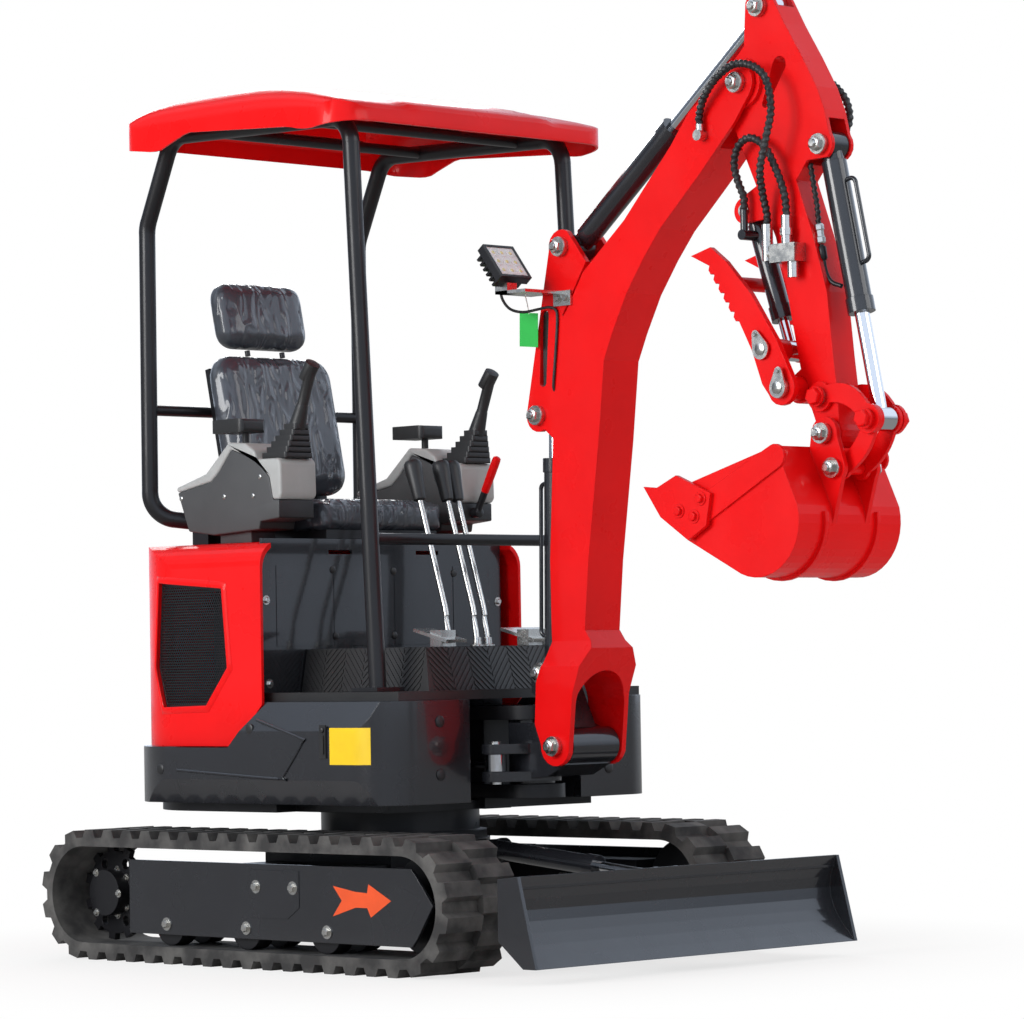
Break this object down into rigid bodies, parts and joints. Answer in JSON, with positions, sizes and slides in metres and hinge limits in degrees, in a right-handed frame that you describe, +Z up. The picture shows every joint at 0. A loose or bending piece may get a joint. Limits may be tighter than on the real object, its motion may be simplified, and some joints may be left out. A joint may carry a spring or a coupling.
{
  "type": "mini excavator",
  "caption": "Tracked mini excavator with a tube canopy, swing boom, arm, bucket with thumb and dozer blade, modelled as separate jointed pieces.",
  "frame": {"origin": "on the ground under the slew axis", "axes": "+X forward over the blade, +Y to the operator's left, +Z up"},
  "size_m": [2.3735, 1.11, 2.2688],
  "materials": {
    "red_paint": "gloss",
    "black_paint": "gloss",
    "black_steel": "satin",
    "track_rubber": "matte",
    "zinc_steel": "satin",
    "chrome_rod": "polished",
    "seat_vinyl": "gloss",
    "grey_plastic": "satin",
    "black_plastic": "satin",
    "mat_rubber": "satin",
    "hose_rubber": "satin",
    "engine_grey": "matte"
  },
  "bodies": {
    "undercarriage": {"track_frame": "black_steel", "track_guards": "black_paint", "track_wheels": "black_steel", "track_right": "track_rubber", "track_left": "track_rubber", "slew_ring": "black_steel"},
    "blade": {"dozer_blade": "black_paint", "blade_pins": "zinc_steel"},
    "blade_barrel": {"blade_barrel": "black_paint"},
    "blade_rod": {"blade_rod": "chrome_rod"},
    "house": {"deck_frame": "black_steel", "counterweight": "black_paint", "side_skirts": "black_paint", "side_covers": "red_paint", "side_grilles": "black_steel", "bulkhead": "black_paint", "engine": "engine_grey", "floor_mat": "mat_rubber", "seat_base": "black_steel", "seat_cushion": "seat_vinyl", "seat_back": "seat_vinyl", "headrest": "seat_vinyl", "consoles": "black_paint", "console_trim": "grey_plastic", "joysticks": "black_plastic", "control_levers": "chrome_rod", "pedals": "zinc_steel", "canopy_frame": "black_steel", "roof": "red_paint"},
    "hood": {"rear_hood": "red_paint"},
    "swing_barrel": {"swing_barrel": "black_paint"},
    "swing_rod": {"swing_rod": "chrome_rod"},
    "swing_bracket": {"swing_bracket": "black_paint", "bracket_pins": "zinc_steel"},
    "boom": {"boom": "red_paint", "boom_pins": "zinc_steel", "work_light": "black_steel", "boom_arm_hose": "hose_rubber"},
    "boom_barrel": {"boom_barrel": "black_paint"},
    "boom_rod": {"boom_rod": "chrome_rod"},
    "arm": {"arm": "red_paint", "arm_pins": "zinc_steel", "hydraulic_block": "zinc_steel", "thumb_hose": "hose_rubber", "arm_hose": "hose_rubber"},
    "arm_barrel": {"arm_barrel": "black_paint"},
    "arm_rod": {"arm_rod": "chrome_rod"},
    "bucket_barrel": {"bucket_barrel": "black_paint"},
    "bucket_rod": {"bucket_rod": "chrome_rod"},
    "rocker": {"rocker": "red_paint"},
    "bucket_link": {"bucket_link": "red_paint"},
    "bucket": {"bucket": "red_paint"},
    "thumb": {"thumb": "red_paint"},
    "thumb_barrel": {"thumb_barrel": "black_paint"},
    "thumb_rod": {"thumb_rod": "chrome_rod"}
  },
  "joints": [
    {"name": "slew", "type": "hinge", "parent": "undercarriage", "child": "house", "pos_m": [0, 0, 0.37], "axis": [0, 0, 1], "continuous": true},
    {"name": "hood_hinge", "type": "hinge", "parent": "house", "child": "hood", "pos_m": [-0.588, 0.292, 0.78], "axis": [0, 0, -1], "range_deg": [0, 90]},
    {"name": "swing", "type": "hinge", "parent": "house", "child": "swing_bracket", "pos_m": [0.47, 0, 0.51], "axis": [0, 0, 1], "range_deg": [-50, 60]},
    {"name": "swing_barrel_pivot", "type": "hinge", "parent": "house", "child": "swing_barrel", "pos_m": [-0.03, -0.13, 0.4855], "axis": [0, 0, 1], "range_deg": [-8, 8]},
    {"name": "swing_rod_slide", "type": "slide", "parent": "swing_barrel", "child": "swing_rod", "axis": [1, 0, 0], "range_m": [-0.12, 0.14]},
    {"name": "boom_lift", "type": "hinge", "parent": "swing_bracket", "child": "boom", "pos_m": [0.646, 0, 0.525], "axis": [0, 1, 0], "range_deg": [0, 95]},
    {"name": "boom_barrel_pivot", "type": "hinge", "parent": "swing_bracket", "child": "boom_barrel", "pos_m": [0.559, 0, 0.699], "axis": [0, 1, 0], "range_deg": [-2, 104]},
    {"name": "boom_rod_slide", "type": "slide", "parent": "boom_barrel", "child": "boom_rod", "axis": [0.0209, 0, 0.9998], "range_m": [-0.01, 0.3]},
    {"name": "arm_crowd", "type": "hinge", "parent": "boom", "child": "arm", "pos_m": [1.236, 0, 2.054], "axis": [0, -1, 0], "range_deg": [-3, 100], "deforming": ["boom_arm_hose"]},
    {"name": "arm_barrel_pivot", "type": "hinge", "parent": "boom", "child": "arm_barrel", "pos_m": [0.658, 0, 1.722], "axis": [0, -1, 0], "range_deg": [-4, 8]},
    {"name": "arm_rod_slide", "type": "slide", "parent": "arm_barrel", "child": "arm_rod", "axis": [0.7804, 0, 0.6253], "range_m": [-0.29, 0.02]},
    {"name": "bucket_curl", "type": "hinge", "parent": "arm", "child": "bucket", "pos_m": [1.48, 0, 1.232], "axis": [0, -1, 0], "range_deg": [-30, 110]},
    {"name": "rocker_pivot", "type": "hinge", "parent": "arm", "child": "rocker", "pos_m": [1.455, 0, 1.317], "axis": [0, -1, 0], "range_deg": [-22, 70]},
    {"name": "link_pivot", "type": "hinge", "parent": "bucket", "child": "bucket_link", "pos_m": [1.507, 0, 1.153], "axis": [0, -1, 0], "range_deg": [-80, 24]},
    {"name": "bucket_barrel_pivot", "type": "hinge", "parent": "arm", "child": "bucket_barrel", "pos_m": [1.464, 0, 1.891], "axis": [0, -1, 0], "range_deg": [-4, 4]},
    {"name": "bucket_rod_slide", "type": "slide", "parent": "bucket_barrel", "child": "bucket_rod", "axis": [0.2062, 0, -0.9785], "range_m": [-0.17, 0.06]},
    {"name": "thumb_close", "type": "hinge", "parent": "arm", "child": "thumb", "pos_m": [1.387, 0, 1.339], "axis": [0, -1, 0], "range_deg": [0, 66]},
    {"name": "thumb_barrel_pivot", "type": "hinge", "parent": "arm", "child": "thumb_barrel", "pos_m": [1.228, 0, 1.76], "axis": [0, -1, 0], "range_deg": [-14, 2], "deforming": ["thumb_hose"]},
    {"name": "thumb_rod_slide", "type": "slide", "parent": "thumb_barrel", "child": "thumb_rod", "axis": [0.3032, 0, -0.9529], "range_m": [-0.01, 0.11]},
    {"name": "blade_lift", "type": "hinge", "parent": "undercarriage", "child": "blade", "pos_m": [0.42, 0, 0.19], "axis": [0, 1, 0], "range_deg": [-22, 18]},
    {"name": "blade_barrel_pivot", "type": "hinge", "parent": "undercarriage", "child": "blade_barrel", "pos_m": [0.33, 0, 0.27], "axis": [0, 1, 0], "range_deg": [-24, 24]},
    {"name": "blade_rod_slide", "type": "slide", "parent": "blade_barrel", "child": "blade_rod", "axis": [0.9955, 0, -0.0952], "range_m": [-0.12, 0.12]}
  ],
  "couplings": [
    {"joint": "swing_barrel_pivot", "follows": "swing", "ratio": 0.012},
    {"joint": "swing_rod_slide", "follows": "swing", "m_per_rad": 0.1112},
    {"joint": "boom_barrel_pivot", "follows": "boom_lift", "ratio": 1.055},
    {"joint": "boom_rod_slide", "follows": "boom_lift", "m_per_rad": 0.1692},
    {"joint": "arm_barrel_pivot", "follows": "arm_crowd", "ratio": 0.035},
    {"joint": "arm_rod_slide", "follows": "arm_crowd", "m_per_rad": -0.1564},
    {"joint": "rocker_pivot", "follows": "bucket_curl", "ratio": 0.58},
    {"joint": "link_pivot", "follows": "bucket_curl", "ratio": -0.67},
    {"joint": "bucket_barrel_pivot", "follows": "bucket_curl", "ratio": 0.02},
    {"joint": "bucket_rod_slide", "follows": "bucket_curl", "m_per_rad": -0.0802},
    {"joint": "thumb_barrel_pivot", "follows": "thumb_close", "ratio": -0.156},
    {"joint": "thumb_rod_slide", "follows": "thumb_close", "m_per_rad": 0.0792},
    {"joint": "blade_barrel_pivot", "follows": "blade_lift", "ratio": 0.8387},
    {"joint": "blade_rod_slide", "follows": "blade_lift", "m_per_rad": 0.0743}
  ]
}
